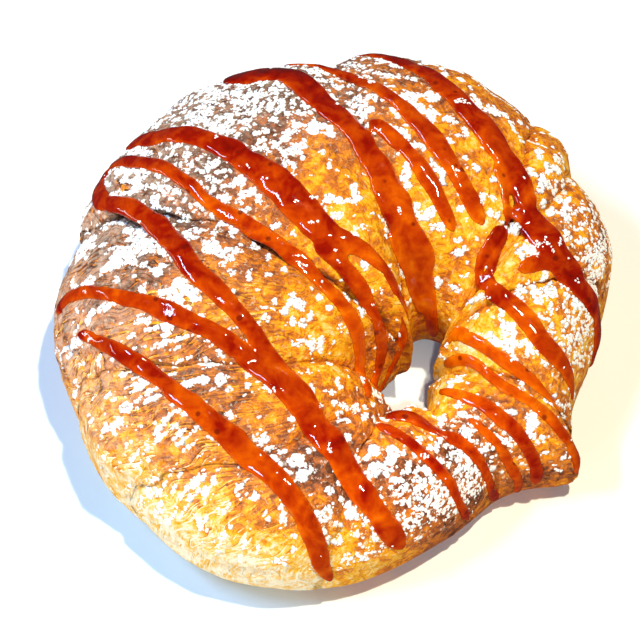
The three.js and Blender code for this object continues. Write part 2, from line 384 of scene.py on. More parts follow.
crustPlaces, crustLayers = (roundAgain(values) for values in crustForm())
crust = bentGrid(crustPlaces + np.array([*ring["holePlace"], 0]), "crust")
print("crust:", len(crust.data.polygons), "faces")


# tone by place, 0 pale dough and 1 dark crust: browning, with painted shade at seam gaps and low in the hole,
# and partly painted light at the low edge
bakeAndShade = {
    "outer": [0.46, 0.46, 0.44, 0.62, 1.00, 0.90, 0.76, 0.26, 0.27, 0.66, 0.59, 0.58],
    "crest": [0.42, 0.42, 0.40, 0.62, 1.02, 1.00, 0.73, 0.70, 0.82, 0.80, 0.70, 0.54],
    "inner": [0.22, 0.26, 0.36, 0.38, 0.31, 0.42, 0.43, 0.35, 0.58, 0.36, 0.22, 0.22],
    "early": [0.25, 0.25, 0.25, 0.30, 0.36, 0.28, 0.25, 0.25, 0.25, 0.25, 0.25, 0.25],
    # lowEdge pales the low edge: pale dough, and partly painted light where that edge is brightly lit
    "lowEdge": [0.0, 0.0, 0.0, 0.0, 0.0, 0.05, 0.30, 0.28, 0.28, 0.0, -0.04, -0.06],   # paler to the table
    "seam": 0.4, "seamPatch": 2.2, "seamPatchLong": 6,
    "foot": 0.1, "under": 0.62, "holeShade": 0.95, "palest": 0.03,
    "uneven": ((0.34, 9, 12), (0.24, 3, 13)),                   # strength, size and salt of its patches
}
# share of the crust that icing sugar covers
dusting = {
    "outer": [0.92, 0.94, 0.10, 0.28, 0.88, 0.40, 0.18, 0.22, 0.27, 0.90, 0.94, 0.10],
    "crest": [0.52, 0.52, 0.12, 0.46, 0.92, 0.64, 0.26, 0.21, 0.32, 0.76, 0.84, 0.12],
    "inner": [0.12, 0.12, 0.16, 0.22, 0.09, 0.08, 0.14, 0.12, 0.14, 0.22, 0.26, 0.14],
    "early": [0.30, 0.30, 0.30, 0.34, 0.52, 0.32, 0.30, 0.30, 0.30, 0.30, 0.30, 0.30],
    "powder": 2.5,
}
# how far a thin film of sugar greys the crust
film = {
    "outer": [0.05, 0.00, 0.00, 0.05, 0.45, 0.95, 0.85, 0.30, 0.05, 0.00, 0.00, 0.00],
    "crest": [0.00, 0.00, 0.00, 0.00, 0.36, 0.28, 0.16, 0.12, 0.05, 0.00, 0.00, 0.00],
    "inner": [0.0] * 12,
    "early": [0.25, 0.25, 0.25, 0.25, 0.45, 0.40, 0.25, 0.25, 0.25, 0.25, 0.25, 0.25],
}


def crustTone(angle, phi, along, dark, wrap, places):
    up, out = np.sin(phi), np.cos(phi)
    tone = aroundBlend(bakeAndShade, angle, phi)
    tone = tone * (1 - bakeAndShade["foot"] * smooth(0.2, -0.35, up))
    # paler low on the outer flank: pale dough, and partly painted light for the brightly lit low edge
    tone = tone - ringBlend(bakeAndShade["lowEdge"], angle) * smooth(0.8, -0.05, up) * smooth(0.2, 0.5, out)
    tone = tone + (bakeAndShade["under"] - tone) * smooth(-0.55, -0.8, up)
    # painted shade: darker low on the hole side, where the crust above overhangs it
    holeShade = smooth(0.0, -0.5, up) * smooth(0.2, 0.6, -out)
    tone = tone + (bakeAndShade["holeShade"] - tone) * holeShade
    # painted shade in the seam gaps, in patches along the seam
    patch = grain(along / bakeAndShade["seamPatchLong"], wrap, 0, 11) ** 2
    tone = tone + bakeAndShade["seam"] * dark * bakeAndShade["seamPatch"] * patch
    for strength, size, salt in bakeAndShade["uneven"]:
        tone = tone + strength * (grainAt(places, size, salt) - 0.5)
    return np.maximum(tone, bakeAndShade["palest"])


def paintCrust():
    angle, phi, across, along, dark, wrap = crustLayers.reshape(-1, 6).T
    up = np.sin(phi)
    powdered = np.clip(dusting["powder"] * aroundBlend(dusting, angle, phi), 0, 1)
    writeValues(crust, "tone", crustTone(angle, phi, along, dark, wrap, crustPlaces.reshape(-1, 3)))
    writeValues(crust, "veil", np.clip(aroundBlend(film, angle, phi), 0, 1) * smooth(-0.5, 0.2, up))
    writeValues(crust, "flaky", aroundBlend(flaky, angle, phi))
    writeValues(crust, "dusted", powdered * smooth(-0.1, 0.3, up))
    lines = np.stack([across, along, wrap * 13.7], -1)   # each wrap gets lines of its own
    writeValues(crust, "lines", lines, "FLOAT_VECTOR", "vector")


paintCrust()
closeSkin(crust)


# shader helpers: a node with its values set, and links by socket name
class Shader:
    def __init__(self, name):
        self.mat = bpy.data.materials.new(name)
        self.mat.use_nodes = True
        self.tree = self.mat.node_tree
        self.body = self.tree.nodes["Principled BSDF"]
        self.coords = None

    # a link from another node, or a constant on the socket itself
    def put(self, value, socket):
        if isinstance(value, bpy.types.NodeSocket):
            self.tree.links.new(value, socket)
        else:
            socket.default_value = value

    def node(self, kind, inputs, **settings):
        n = self.tree.nodes.new(kind)
        for key, value in settings.items():
            setattr(n, key, value)
        for key, value in inputs.items():
            self.put(value, n.inputs[key])
        return n

    def place(self):
        if self.coords is None:
            self.coords = self.tree.nodes.new("ShaderNodeTexCoord")
        return self.coords.outputs["Object"]

    def attribute(self, name, out="Fac"):
        return self.node("ShaderNodeAttribute", {}, attribute_name=name).outputs[out]

    def noise(self, scale, vector=None, detail=3.0, rough=0.55, warp=0.0):
        inputs = {"Vector": vector or self.place(), "Scale": scale, "Detail": detail}
        inputs.update({"Roughness": rough, "Distortion": warp})
        return self.node("ShaderNodeTexNoise", inputs).outputs["Fac"]

    def scaled(self, vector, scale):
        return self.node("ShaderNodeMapping", {"Vector": vector, "Scale": scale}).outputs["Vector"]

    def distance(self, spot):
        n = self.node("ShaderNodeVectorMath", {0: self.place(), 1: spot}, operation="DISTANCE")
        return n.outputs["Value"]

    def math(self, action, a, b=0.0):
        return self.node("ShaderNodeMath", {0: a, 1: b}, operation=action).outputs[0]

    def times(self, first, *others):
        for other in others:
            first = self.math("MULTIPLY", first, other)
        return first

    def centred(self, value):
        return self.math("SUBTRACT", value, 0.5)

    # the sum of the named values, each times its weight
    def weighed(self, values, weights):
        total = None
        for name, weight in weights.items():
            part = self.times(values[name], weight)
            total = part if total is None else self.math("ADD", total, part)
        return total

    def ease(self, value, low, high, toLow=0.0, toHigh=1.0):
        inputs = {"Value": value, "From Min": low, "From Max": high, "To Min": toLow, "To Max": toHigh}
        return self.node("ShaderNodeMapRange", inputs, interpolation_type="SMOOTHSTEP").outputs["Result"]

    def ramp(self, value, stops):
        n = self.node("ShaderNodeValToRGB", {"Fac": value})
        items = n.color_ramp.elements
        while len(items) < len(stops):
            items.new(0.5)
        for item, (at, colour) in zip(items, stops):
            item.position = at
            item.color = (*colour, 1)
        return n.outputs["Color"]

    def blend(self, share, a, b):
        return self.node("ShaderNodeMix", {0: share, 6: a, 7: b}, data_type="RGBA").outputs[2]

    def bump(self, height, strength, distance, normal=None):
        inputs = {"Height": height, "Strength": strength, "Distance": distance}
        if normal is not None:
            inputs["Normal"] = normal
        return self.node("ShaderNodeBump", inputs).outputs["Normal"]

    def finish(self, inputs):
        for key, value in inputs.items():
            self.put(value, self.body.inputs[key])
        return self.mat


crustLook = {
    "baked": [(0.0, (1.0, 0.86, 0.60)), (0.12, (0.99, 0.61, 0.17)), (0.24, (0.97, 0.48, 0.020)),
              (0.36, (0.93, 0.36, 0.007)), (0.48, (0.80, 0.226, 0.010)), (0.62, (0.57, 0.144, 0.018)),
              (0.78, (0.34, 0.088, 0.025)), (0.90, (0.18, 0.051, 0.020)), (1.0, (0.10, 0.028, 0.012))],
    "filmed": (0.70, 0.46, 0.31, 1),
    "powdered": [(0.45, (0.98, 0.84, 0.50)), (0.80, (0.84, 0.72, 0.62))],
    "flakes": (0.24, 0.030, 1.0), "flakeLayers": 10.0, "streaks": (1.5, 0.14, 1.0),
    "torn": 230, "mottle": 170, "patches": 460, "pores": 1100, "wrinkles": 250, "dust": 520, "powder": 880,
    "calm": 0.55,                                  # share of the marks that pale dough shows
    "browns": {"streak": 0.45, "band": 0.16, "edge": 0.14, "pale": -0.34, "mottleMid": 0.50,
               "patchesMid": 0.30, "poresMid": 0.30, "wrinkle": 0.09},
    "lifts": {"layers": 0.7, "streak": 0.7, "edge": -0.6, "pores": 0.3, "patches": -0.35, "wrinkle": -0.30},
    "relief": (0.75, 0.0007), "dents": (0.4, 0.0009),   # strength, height in m
    "rough": (0.42, 0.85), "gloss": 0.1,           # roughness of bare and of filmed crust
}


def bakedCrustMaterial():
    s = Shader("bakedCrust")
    lines = s.attribute("lines", "Vector")
    show = s.attribute("flaky")
    strong = s.ease(show, 0.35, 1.1)
    # flakes: long layers that run up the flank and end in a dark broken edge with a light line beside it
    folds = s.noise(1.0, s.scaled(lines, crustLook["flakes"]), 4.0, 0.58, 0.5)
    layer = s.math("FRACT", s.times(folds, crustLook["flakeLayers"]))
    torn = s.ease(s.noise(crustLook["torn"], detail=3, rough=0.6), 0.40, 0.58)
    edge = s.times(s.ease(layer, 0.66, 0.97), torn, strong)
    pale = s.times(s.ease(layer, 0.04, 0.34, 1.0, 0.0), torn, strong)
    streak = s.noise(1.0, s.scaled(lines, crustLook["streaks"]), 4.0, 0.65, 0.8)
    mottle = s.noise(crustLook["mottle"], detail=4, rough=0.55, warp=0.6)
    patches = s.ease(s.noise(crustLook["patches"], detail=4, rough=0.6, warp=0.7), 0.38, 0.64)
    pores = s.noise(crustLook["pores"], detail=3, rough=0.65)
    wrinkle = s.math("ABSOLUTE", s.centred(s.noise(crustLook["wrinkles"], detail=3, rough=0.6, warp=0.9)))
    marks = {
        "streak": s.times(s.centred(streak), show), "edge": edge, "pale": pale,
        "layers": s.times(layer, strong), "band": s.times(s.centred(layer), strong),
        "mottleMid": s.centred(mottle), "patchesMid": s.centred(patches), "poresMid": s.centred(pores),
        "patches": patches, "pores": pores, "wrinkle": s.ease(wrinkle, 0.0, 0.10, 1.0, 0.0),
    }
    baked = s.attribute("tone")
    calm = s.ease(baked, 0.0, 0.35, crustLook["calm"], 1.0)
    tone = s.math("ADD", baked, s.times(s.weighed(marks, crustLook["browns"]), calm))
    colour = s.ramp(tone, crustLook["baked"])
    # the film of sugar, worn off the edges of the flakes
    dust = s.ease(s.noise(crustLook["dust"], detail=5, rough=0.7, warp=0.4), 0.30, 0.60)
    worn = s.math("SUBTRACT", 1.0, s.math("MAXIMUM", edge, pale))
    veil = s.times(s.attribute("veil"), s.times(dust, s.ease(layer, 0.1, 1.0, 1.0, 0.5), worn))
    colour = s.blend(veil, colour, crustLook["filmed"])
    # thin sugar between the clumps
    powder = s.ease(s.noise(crustLook["powder"], detail=4, rough=0.7, warp=0.3), 0.575, 0.635, 0.0, 0.75)
    powdered = s.ramp(baked, crustLook["powdered"])
    colour = s.blend(s.times(powder, s.attribute("dusted")), colour, powdered)
    normal = s.bump(s.weighed(marks, crustLook["lifts"]), *crustLook["relief"])
    normal = s.bump(mottle, *crustLook["dents"], normal)
    rough = s.ease(veil, 0, 1, *crustLook["rough"])
    return s.finish({"Base Color": colour, "Roughness": rough, "Normal": normal,
                     "Specular IOR Level": crustLook["gloss"]})


crust.data.materials.append(bakedCrustMaterial())
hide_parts("croissant")
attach(crust, "root")
print("crust painted")

# strokes of glaze seen from above: places along each with its width there, and how red it is at both ends
strokes = [
    ([(-46, 65.5, 6.6), (-31, 61.5, 6.8), (-26, 56.5, 6.2), (-15, 44, 5.3), (-4, 23, 6.9), (2, 16, 4.8)],
     0.98, 0.22),
    ([(0, 19, 4.8), (2.5, 11, 3.2), (2, 5, 2.8)], 0.36, 0.40),
    ([(-7, 21, 2.9), (-3, 15, 2.6), (0, 9, 1.8)], 0.40, 0.35),
    ([(-12, 48, 3.3), (-1, 37, 3.8), (8, 23, 3.2)], 0.62, 0.30),
    ([(-32, 72, 2.2), (-24, 69, 2.6), (-12, 60, 3.3), (6, 38, 5.0), (15, 24, 3.3)], 0.72, 0.34),
    ([(-16, 76, 2.9), (-11, 75, 3.6), (-4, 70, 3.8), (14, 49, 6.7), (22, 39, 6.0), (25, 31, 5.0),
      (25.5, 28, 5.0)], 0.86, 0.54),
    ([(17, 39, 1.9), (19, 35, 2.4), (21, 25, 2.2)], 0.35, 0.40),
    ([(22.5, 30.5, 5.0), (27, 26, 6.9), (31, 20, 6.7), (40, 12, 5.3), (44, 9, 4.2), (47, 6, 3.4)],
     0.72, 0.56),
    ([(33, 19, 4.6), (22, 14, 3.4)], 0.72, 0.46),
    ([(21, 25, 4.0), (17, 20, 4.0), (15, 14, 3.8), (16, 9, 4.4)], 0.80, 0.50),
    ([(14, 12, 4.4), (22, 6, 4.5), (28, -1, 4.5), (33, -5, 3.8), (35, -9, 2.4)], 0.48, 0.40),
    ([(4, 5, 2.6), (8, 4, 3.0), (18, -4, 3.2), (25, -9, 2.6), (32, -15, 1.4)], 0.28, 0.22),
    ([(6, 0, 2.4), (10, -2, 2.6), (18, -10, 2.8), (27, -16, 3.0), (34, -22, 2.6), (39, -26, 2.2)],
     0.22, 0.54),
    ([(4, -10, 2.4), (15, -16, 3.3), (30.5, -28.5, 2.8)], 0.34, 0.70),
    ([(10, -18.5, 1.8), (19, -25, 2.4), (28.5, -31.5, 2.2)], 0.45, 0.55),
    ([(-9, -20, 4.4), (-4.5, -19.5, 5.4), (-0.5, -20.5, 4.2), (2.5, -22, 2.2), (6, -23, 2.5),
      (22.5, -35, 2.7)], 0.85, 0.55),
    ([(-11, -22, 2.6), (-6, -25, 2.8), (3, -31, 2.8), (12, -39, 2.2)], 0.65, 0.65),
    ([(-69, 51, 2.6), (-64, 49, 3.9), (-55, 45, 4.8), (-49, 42, 5.0), (-30, 25, 6.7), (-19, 13, 6.0)],
     0.88, 0.50),
    ([(-23, 18, 4.6), (-10, 12, 3.0), (-4.5, 5, 2.2), (-2, -1, 2.2)], 0.68, 0.45),
    ([(-25, 16, 4.6), (-13, 4.5, 3.2), (-9, -2, 2.8), (-9, -8, 2.2), (-10, -11, 2.0)], 0.66, 0.42),
    ([(-73, 48, 2.9), (-62, 39, 3.4), (-47, 24, 3.4), (-31, 13, 3.6), (-14, -6, 3.2), (-13, -15, 2.6)],
     0.78, 0.24),
    ([(-73, 48, 3.6), (-75, 44, 4.4), (-75, 37, 5.0), (-73, 31, 4.6)], 0.78, 0.84),
    ([(-74, 34, 4.4), (-66, 27, 4.2), (-48, 4, 4.8), (-42, -2, 3.8), (-23, -26, 5.7)], 0.70, 0.46),
    ([(-84.5, 9.5, 4.4), (-81, 10, 3.4), (-68, 4, 3.8), (-42, -10, 4.5), (-23, -27, 6.2), (-13, -40, 5.5),
      (-5, -46, 4.3)], 0.62, 0.56),
    ([(-78, 0, 2.8), (-60, -15, 3.8), (-41, -31, 4.9), (-24, -48, 4.4), (-22, -56, 2.9)], 0.64, 0.36),
]
glazeSize = {
    "wider": 1.2, "rise": 0.11, "least": 0.42, "root": 1.2, "sunk": 0.1, "endRound": 0.55,
    "narrow": 0.68, "wave": 0.36, "waveLong": 4.5, "ripple": 0.24, "rippleLong": 1.8,
    "blob": 0.5, "blobLong": 5.5, "blobRare": 4,
    "flat": 0.55, "swell": 0.5, "swellLong": 6, "round": 0.75,
    "dent": 0.4, "dentLong": 2.6, "dentAcross": 1.4,
    "step": 0.7, "sides": 24, "voxel": 0.5, "evenings": 5, "softenings": 4,
    "edge": 0.93, "runDown": 2.2, "lowest": -0.5,       # past this share of the width it runs down
    "dropFrom": 6, "dropReach": 0.014, "gapDeep": 0.5, "gapMost": 1.0,
    "nearMarks": 6, "nearest": 0.0005,
}


# where a thread falling at x, y meets the ring: past an edge it runs down the flank
def landing(x, y):
    angle = np.arctan2(y, x)
    outer, inner = outerEdge(angle), innerEdge(angle)
    half = (outer - inner) / 2
    share = (np.hypot(x, y) - (outer + inner) / 2) / half
    past = np.maximum(0, np.abs(share) - glazeSize["edge"]) * half
    low = np.arccos(np.minimum(np.abs(share), glazeSize["edge"]) ** (ring["flankPower"] / 2))
    low = np.maximum(low - glazeSize["runDown"] * past / crestHeight(angle), glazeSize["lowest"])
    return angle, np.where(share >= 0, low, math.pi - low)


def outward(angle, phi):
    step = 0.05
    along = ringPoint(angle + step, phi, 0) - ringPoint(angle - step, phi, 0)
    over = ringPoint(angle, phi + step, 0) - ringPoint(angle, phi - step, 0)
    normal = np.cross(along, over)
    return normal / np.linalg.norm(normal, axis=-1, keepdims=True)


# smooth line through a few places
def throughPlaces(places, step):
    places = np.array(places, float)
    gap = np.linalg.norm(np.diff(places[:, :2], axis=0), axis=1)
    at = np.concatenate([[0], np.cumsum(gap)])
    slope = np.gradient(places, at, axis=0)
    q = np.linspace(0, at[-1], max(8, int(at[-1] / step)))
    k = np.clip(np.searchsorted(at, q, side="right") - 1, 0, len(gap) - 1)
    f = ((q - at[k]) / gap[k])[:, None]
    h = gap[k][:, None]
    line = places[k] * (1 + 2 * f) * (1 - f) ** 2 + places[k + 1] * f * f * (3 - 2 * f)
    return line + slope[k] * h * f * (1 - f) ** 2 + slope[k + 1] * h * f * f * (f - 1)


# lays the feet of a ribbon on the crust, bridges its gaps and evens out its roughness as a liquid does
def laidFeet(foot, centre, normal):
    for i in range(foot.shape[0]):
        back = Vector(-normal[i])
        for j in range(foot.shape[1]):
            start = Vector((foot[i, j] + glazeSize["dropFrom"] * normal[i]) * mm)
            spot = crustSurface.ray_cast(start, back, glazeSize["dropReach"])[0]
            if spot is None:
                spot = crustSurface.find_nearest(Vector(foot[i, j] * mm))[0]
            foot[i, j] = np.array(spot) / mm
    deep = ((foot - centre[:, None, :]) * normal[:, None, :]).sum(2)
    floor = np.maximum(np.median(deep, 1, keepdims=True), np.median(deep) - glazeSize["gapMost"])
    low = np.maximum(0, floor - glazeSize["gapDeep"] - deep)
    foot = foot + normal[:, None, :] * low[..., None]
    for _ in range(glazeSize["evenings"]):
        foot[1:-1] = (foot[:-2] + 2 * foot[1:-1] + foot[2:]) / 4
        foot = (np.roll(foot, 1, 1) + 2 * foot + np.roll(foot, -1, 1)) / 4
    return foot


# how wide a ribbon runs out to one side, with a blob here and there
def ribbonSide(run, seed, salt):
    wide = glazeSize["narrow"] + glazeSize["wave"] * grain(run / glazeSize["waveLong"], seed, 0, salt)
    wide = wide + glazeSize["ripple"] * grain(run / glazeSize["rippleLong"], seed, 0, salt + 0.5)
    blobs = grain(run / glazeSize["blobLong"], seed, 0, salt + 0.2) ** glazeSize["blobRare"]
    return wide + glazeSize["blob"] * blobs


# a ribbon of glaze: lens-shaped sections that lie on the crust and root in it
def strokeForm(places, seed):
    x, y, width = throughPlaces(places, glazeSize["step"]).T
    width = width * glazeSize["wider"]
    angle, phi = landing(x, y)
    centre = ringPoint(angle, phi, np.full(len(x), 1.0)) + np.array([*ring["holePlace"], 0])
    normal = outward(angle, phi)
    side = np.cross(np.gradient(centre, axis=0), normal)
    side /= np.linalg.norm(side, axis=1, keepdims=True)
    run = np.concatenate([[0], np.cumsum(np.linalg.norm(np.diff(centre, axis=0), axis=1))])
    fromEnd = np.minimum(run, run[-1] - run) / (glazeSize["endRound"] * width)
    ends = np.sqrt(np.clip(1 - (1 - np.clip(fromEnd, 0.0, 1)) ** 2, 0.0, 1))
    turn = np.linspace(0, fullTurn, glazeSize["sides"], endpoint=False)
    u, v = np.cos(turn)[None, :], np.sin(turn)[None, :]
    left, right = (ribbonSide(run, seed, salt)[:, None] for salt in (20, 21))
    reach = np.where(u > 0, left, right) * (ends * width / 2)[:, None] * u
    foot = laidFeet(centre[:, None, :] + side[:, None, :] * reach[..., None], centre, normal)
    swell = glazeSize["flat"] + glazeSize["swell"] * grain(run / glazeSize["swellLong"], seed, 0, 22)[:, None]
    dents = grain(run[:, None] / glazeSize["dentLong"], u * glazeSize["dentAcross"], seed, 23)
    swell = swell + glazeSize["dent"] * dents
    rise = (glazeSize["least"] + glazeSize["rise"] * width)[:, None] * swell * ends[:, None]
    level = np.where(v > 0, np.abs(v) ** glazeSize["round"], -np.abs(v))
    lift = np.where(v > 0, rise * level, glazeSize["root"] * level * ends[:, None]) - glazeSize["sunk"]
    return foot + normal[:, None, :] * lift[..., None], centre


# thickness over the crust, and redness from the nearest marks along the strokes
def paintGlaze(glaze, marks):
    near = kdtree.KDTree(len(marks))
    for k, (p, _) in enumerate(marks):
        near.insert(p * mm, k)
    near.balance()
    thick, red = [], []
    for v in glaze.data.vertices:
        spot, normal, _, _ = crustSurface.find_nearest(v.co)
        thick.append(max(0.0, (v.co - spot).dot(normal)) / mm)
        found = near.find_n(v.co, glazeSize["nearMarks"])
        weight = [1 / (glazeSize["nearest"] + d) for _, _, d in found]
        red.append(sum(marks[k][1] * w for (_, k, _), w in zip(found, weight)) / sum(weight))
    writeValues(glaze, "thick", thick)
    writeValues(glaze, "red", red)


def makeGlaze():
    ribbons, marks = [], []
    for seed, (places, redStart, redEnd) in enumerate(strokes):
        form, centre = strokeForm(places, seed)
        ribbon = bentGrid(np.concatenate([form, form[:, :1]], 1), "ribbon")
        closeSkin(ribbon)
        ribbons.append(ribbon)
        marks += [(p, redStart + (redEnd - redStart) * k / len(centre)) for k, p in enumerate(centre)]
    makeActive(ribbons[0])
    for ribbon in ribbons:
        ribbon.select_set(True)
    bpy.ops.object.join()
    glaze = bpy.context.active_object
    glaze.name = "guavaGlaze"
    applyModifier(glaze, "REMESH", mode="VOXEL", voxel_size=glazeSize["voxel"] * mm)
    applyModifier(glaze, "SMOOTH", factor=0.5, iterations=glazeSize["softenings"])
    makeActive(glaze)
    bpy.ops.object.shade_smooth()
    paintGlaze(glaze, marks)
    return glaze


glazeLook = {
    "depths": [(0.08, (0.82, 0.20, 0.002)), (0.31, (0.64, 0.088, 0.0)), (0.52, (0.46, 0.037, 0.0)),
               (0.74, (0.28, 0.006, 0.0)), (1.0, (0.13, 0.001, 0.0))],
    "weights": {"thick": 0.22, "red": 0.70, "cloudMid": 1.2, "fineMid": 0.2},
    "cloud": 150, "fine": 600, "seeds": 190.0,
    "seedColour": (0.14, 0.006, 0.0015, 1), "rimShadeColour": (0.20, 0.012, 0.001, 1),
    "rough": 0.06, "refraction": 1.42, "gloss": 0.5, "ripple": (0.15, 0.0004),
}


def guavaGlazeMaterial():
    s = Shader("guavaGlaze")
    cloud = s.noise(glazeLook["cloud"], detail=3, rough=0.6, warp=0.4)
    fine = s.noise(glazeLook["fine"], detail=2, rough=0.6)
    thick = s.attribute("thick")
    parts = {"thick": s.ease(thick, 0.0, 0.9), "red": s.attribute("red"),
             "cloudMid": s.centred(cloud), "fineMid": s.centred(fine)}
    colour = s.ramp(s.weighed(parts, glazeLook["weights"]), glazeLook["depths"])
    cells = {"Vector": s.place(), "Scale": glazeLook["seeds"], "Randomness": 1.0}
    cells = s.node("ShaderNodeTexVoronoi", cells)
    seeds = s.ease(s.math("ADD", cells.outputs["Distance"], s.times(fine, 0.12)), 0.15, 0.23, 0.8, 0.0)
    colour = s.blend(seeds, colour, glazeLook["seedColour"])
    rim = s.ease(thick, 0.02, 0.30, 0.55, 0.0)   # painted shade: the thin edge of the glaze is darkened for the shade and refraction at its rim
    colour = s.blend(rim, colour, glazeLook["rimShadeColour"])
    return s.finish({"Base Color": colour, "Roughness": glazeLook["rough"], "IOR": glazeLook["refraction"],
                     "Normal": s.bump(fine, *glazeLook["ripple"]), "Specular IOR Level": glazeLook["gloss"]})


crustSurface = surfaceTree(crust)
glaze = makeGlaze()
glaze.data.materials.append(guavaGlazeMaterial())
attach(glaze, "root")
print("glaze:", len(strokes), "strokes,", len(glaze.data.polygons), "faces")

# icing sugar: small clumps that fell from above, thickest on both horns and at the back left
sugarSize = {
    "seed": 11, "tries": 130000, "fallFrom": 0.1, "steepest": 0.05,
    "radius": (0.26, 0.78), "deep": 0.38, "sunk": 0.1, "onGlaze": 0.008,
    "clumps": ((0.48, 2.0, 30), (0.20, 1.1, 31), (0.20, 5, 32)),    # weight, size and salt of each field
    "ridges": (0.14, 2.0, 33),
    "gapRidges": (0.55, 1.3, 36), "gaps": ((0.30, 1.1, 37), (0.15, 4, 38)),
    "strands": ((0.6, 1.5, 6, 34), (0.4, 1.0, 2.5, 35)),            # weight, width, length, salt
    "drawn": 0.6,                                                   # share of strands on flaky crust
    "stretch": (0.75, 1.3), "uneven": (0.75, 1.2),
    "fewLarge": 1.2, "edgeSize": 0.4, "edgeDeep": 0.1, "loose": 1.2, "packed": 0.15,
}


# where each clump that falls straight down lands, on the crust or on the glaze
def fallenSugar(draw):
    low, high = (np.array(c) for c in cadBox)
    spread = draw.uniform(low[:2], high[:2], (sugarSize["tries"], 2))
    glazeSurface = surfaceTree(glaze)
    down = Vector((0, 0, -1))
    spots, normals, wet = [], [], []
    for x, y in spread:
        start = Vector((x, y, sugarSize["fallFrom"]))
        spot, normal, _, _ = crustSurface.ray_cast(start, down)
        if spot is None or normal.z < sugarSize["steepest"]:
            continue
        over, overNormal, _, _ = glazeSurface.ray_cast(start, down)
        onGlaze = over is not None and over.z > spot.z
        spots.append(over if onGlaze else spot)
        normals.append(overNormal if onGlaze else normal)
        wet.append(onGlaze)
    return np.array(spots) / mm, np.array(normals), np.array(wet)


def ridged(places, weight, size, salt):
    return weight * np.abs(2 * grainAt(places, size, salt) - 1)


# how far inside a heap each clump lies, below 0 on bare crust, and the share covered there
def sugarHeap(p, n, wet):
    holeX, holeY = ring["holePlace"]
    angle, phi = landing(p[:, 0] - holeX, p[:, 1] - holeY)
    much = np.where(wet, sugarSize["onGlaze"], aroundBlend(dusting, angle, phi)) * smooth(0.05, 0.45, n[:, 2])
    field = sum(weight * grainAt(p, size, salt) for weight, size, salt in sugarSize["clumps"])
    field = field + ridged(p, *sugarSize["ridges"])
    gaps = ridged(p, *sugarSize["gapRidges"])
    for weight, size, salt in sugarSize["gaps"]:
        gaps = gaps + weight * grainAt(p, size, salt)
    field = field + (gaps - field) * smooth(0.42, 0.60, much)   # where it lies thick only gaps are left
    across, along = angle * outerEdge(angle), phi * (outerEdge(angle) - innerEdge(angle)) / 2
    strands = sum(weight * grain(across / wide, along / long, 0, salt)
                  for weight, wide, long, salt in sugarSize["strands"])
    layered = smooth(0.5, 1.1, aroundBlend(flaky, angle, phi))
    field = field + (strands - field) * sugarSize["drawn"] * layered
    order = np.empty(len(field))
    order[np.argsort(field)] = np.linspace(0, 1, len(field))   # so that much is the share covered
    return order - (1 - much), much


def makeSugar():
    draw = np.random.default_rng(sugarSize["seed"])
    p, n, wet = fallenSugar(draw)
    heap, much = sugarHeap(p, n, wet)
    keep = heap > 0
    p, n, heap, much = p[keep], n[keep], heap[keep], much[keep]
    count = len(p)
    clearSelection()
    bpy.ops.mesh.primitive_cone_add(vertices=5, radius1=1, radius2=0, depth=1)
    sugar = bpy.context.active_object
    clump = np.array([v.co for v in sugar.data.vertices])
    sides = [f.vertices[:] for f in sugar.data.polygons]
    small, large = sugarSize["radius"]
    inside = smooth(0.0, sugarSize["edgeDeep"], heap)   # finer at the edge of a heap
    grown = sugarSize["edgeSize"] + (1 - sugarSize["edgeSize"]) * inside
    radius = small + (large - small) * draw.random(count) ** sugarSize["fewLarge"] * grown
    radius = radius * (sugarSize["loose"] - sugarSize["packed"] * smooth(0.25, 0.6, much))
    first = np.cross(n, draw.normal(size=(count, 3)))
    first /= np.linalg.norm(first, axis=1, keepdims=True)
    second = np.cross(n, first)
    stretch = draw.uniform(*sugarSize["stretch"], count)
    uneven = clump[None] * draw.uniform(*sugarSize["uneven"], (count, len(clump), 1))
    place = p[:, None, :] + first[:, None, :] * (uneven[..., 0] * (radius * stretch)[:, None])[..., None]
    place = place + second[:, None, :] * (uneven[..., 1] * (radius / stretch)[:, None])[..., None]
    thick = (sugarSize["deep"] * radius + sugarSize["sunk"])[:, None]
    tall = (clump[None, :, 2] + 0.5) * thick - sugarSize["sunk"]
    place = place + n[:, None, :] * tall[..., None]
    mesh = bpy.data.meshes.new("icingSugar")
    faces = [tuple(i + k * len(clump) for i in f) for k in range(count) for f in sides]
    mesh.from_pydata((place * mm).reshape(-1, 3).tolist(), [], faces)
    sugar.data = mesh
    sugar.name = "icingSugar"
    makeActive(sugar)
    bpy.ops.object.shade_smooth()
    return sugar


sugarLook = {
    "whites": [(0.3, (0.90, 0.89, 0.88)), (0.7, (0.96, 0.96, 0.955))], "cloud": 300,
    "grains": 2600, "grainy": (0.5, 0.0003), "rough": 0.9, "gloss": 0.2,
}


def icingSugarMaterial():
    s = Shader("icingSugar")
    fine = s.noise(sugarLook["grains"], detail=2, rough=0.6)
    colour = s.ramp(s.noise(sugarLook["cloud"], detail=3), sugarLook["whites"])
    return s.finish({"Base Color": colour, "Roughness": sugarLook["rough"],
                     "Normal": s.bump(fine, *sugarLook["grainy"]), "Specular IOR Level": sugarLook["gloss"]})


sugar = makeSugar()
sugar.data.materials.append(icingSugarMaterial())
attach(sugar, "root")
print("icing sugar:", len(sugar.data.polygons), "faces")

# painted shadow: the floor is tinted where the shade falls, cool at the left front and warm at the right, and
# lit a little from below like a light table
floorLook = {
    "coolShadeSpot": (-0.070, -0.055, 0), "coolReach": (0.02, 0.095), "cool": (0.66, 0.79, 0.90),
    "warmShadeSpot": (0.075, -0.040, 0), "warmReach": (0.02, 0.09), "warm": (0.92, 0.90, 0.80, 1),
    "warmShare": 0.8,
    "pale": (0.90, 0.90, 0.895), "rough": 0.55, "gloss": 0.2,
    "glow": (0.42, 0.66, 1.0, 1), "glowPower": 0.10, "size": 3.0, "below": -0.0002,
}


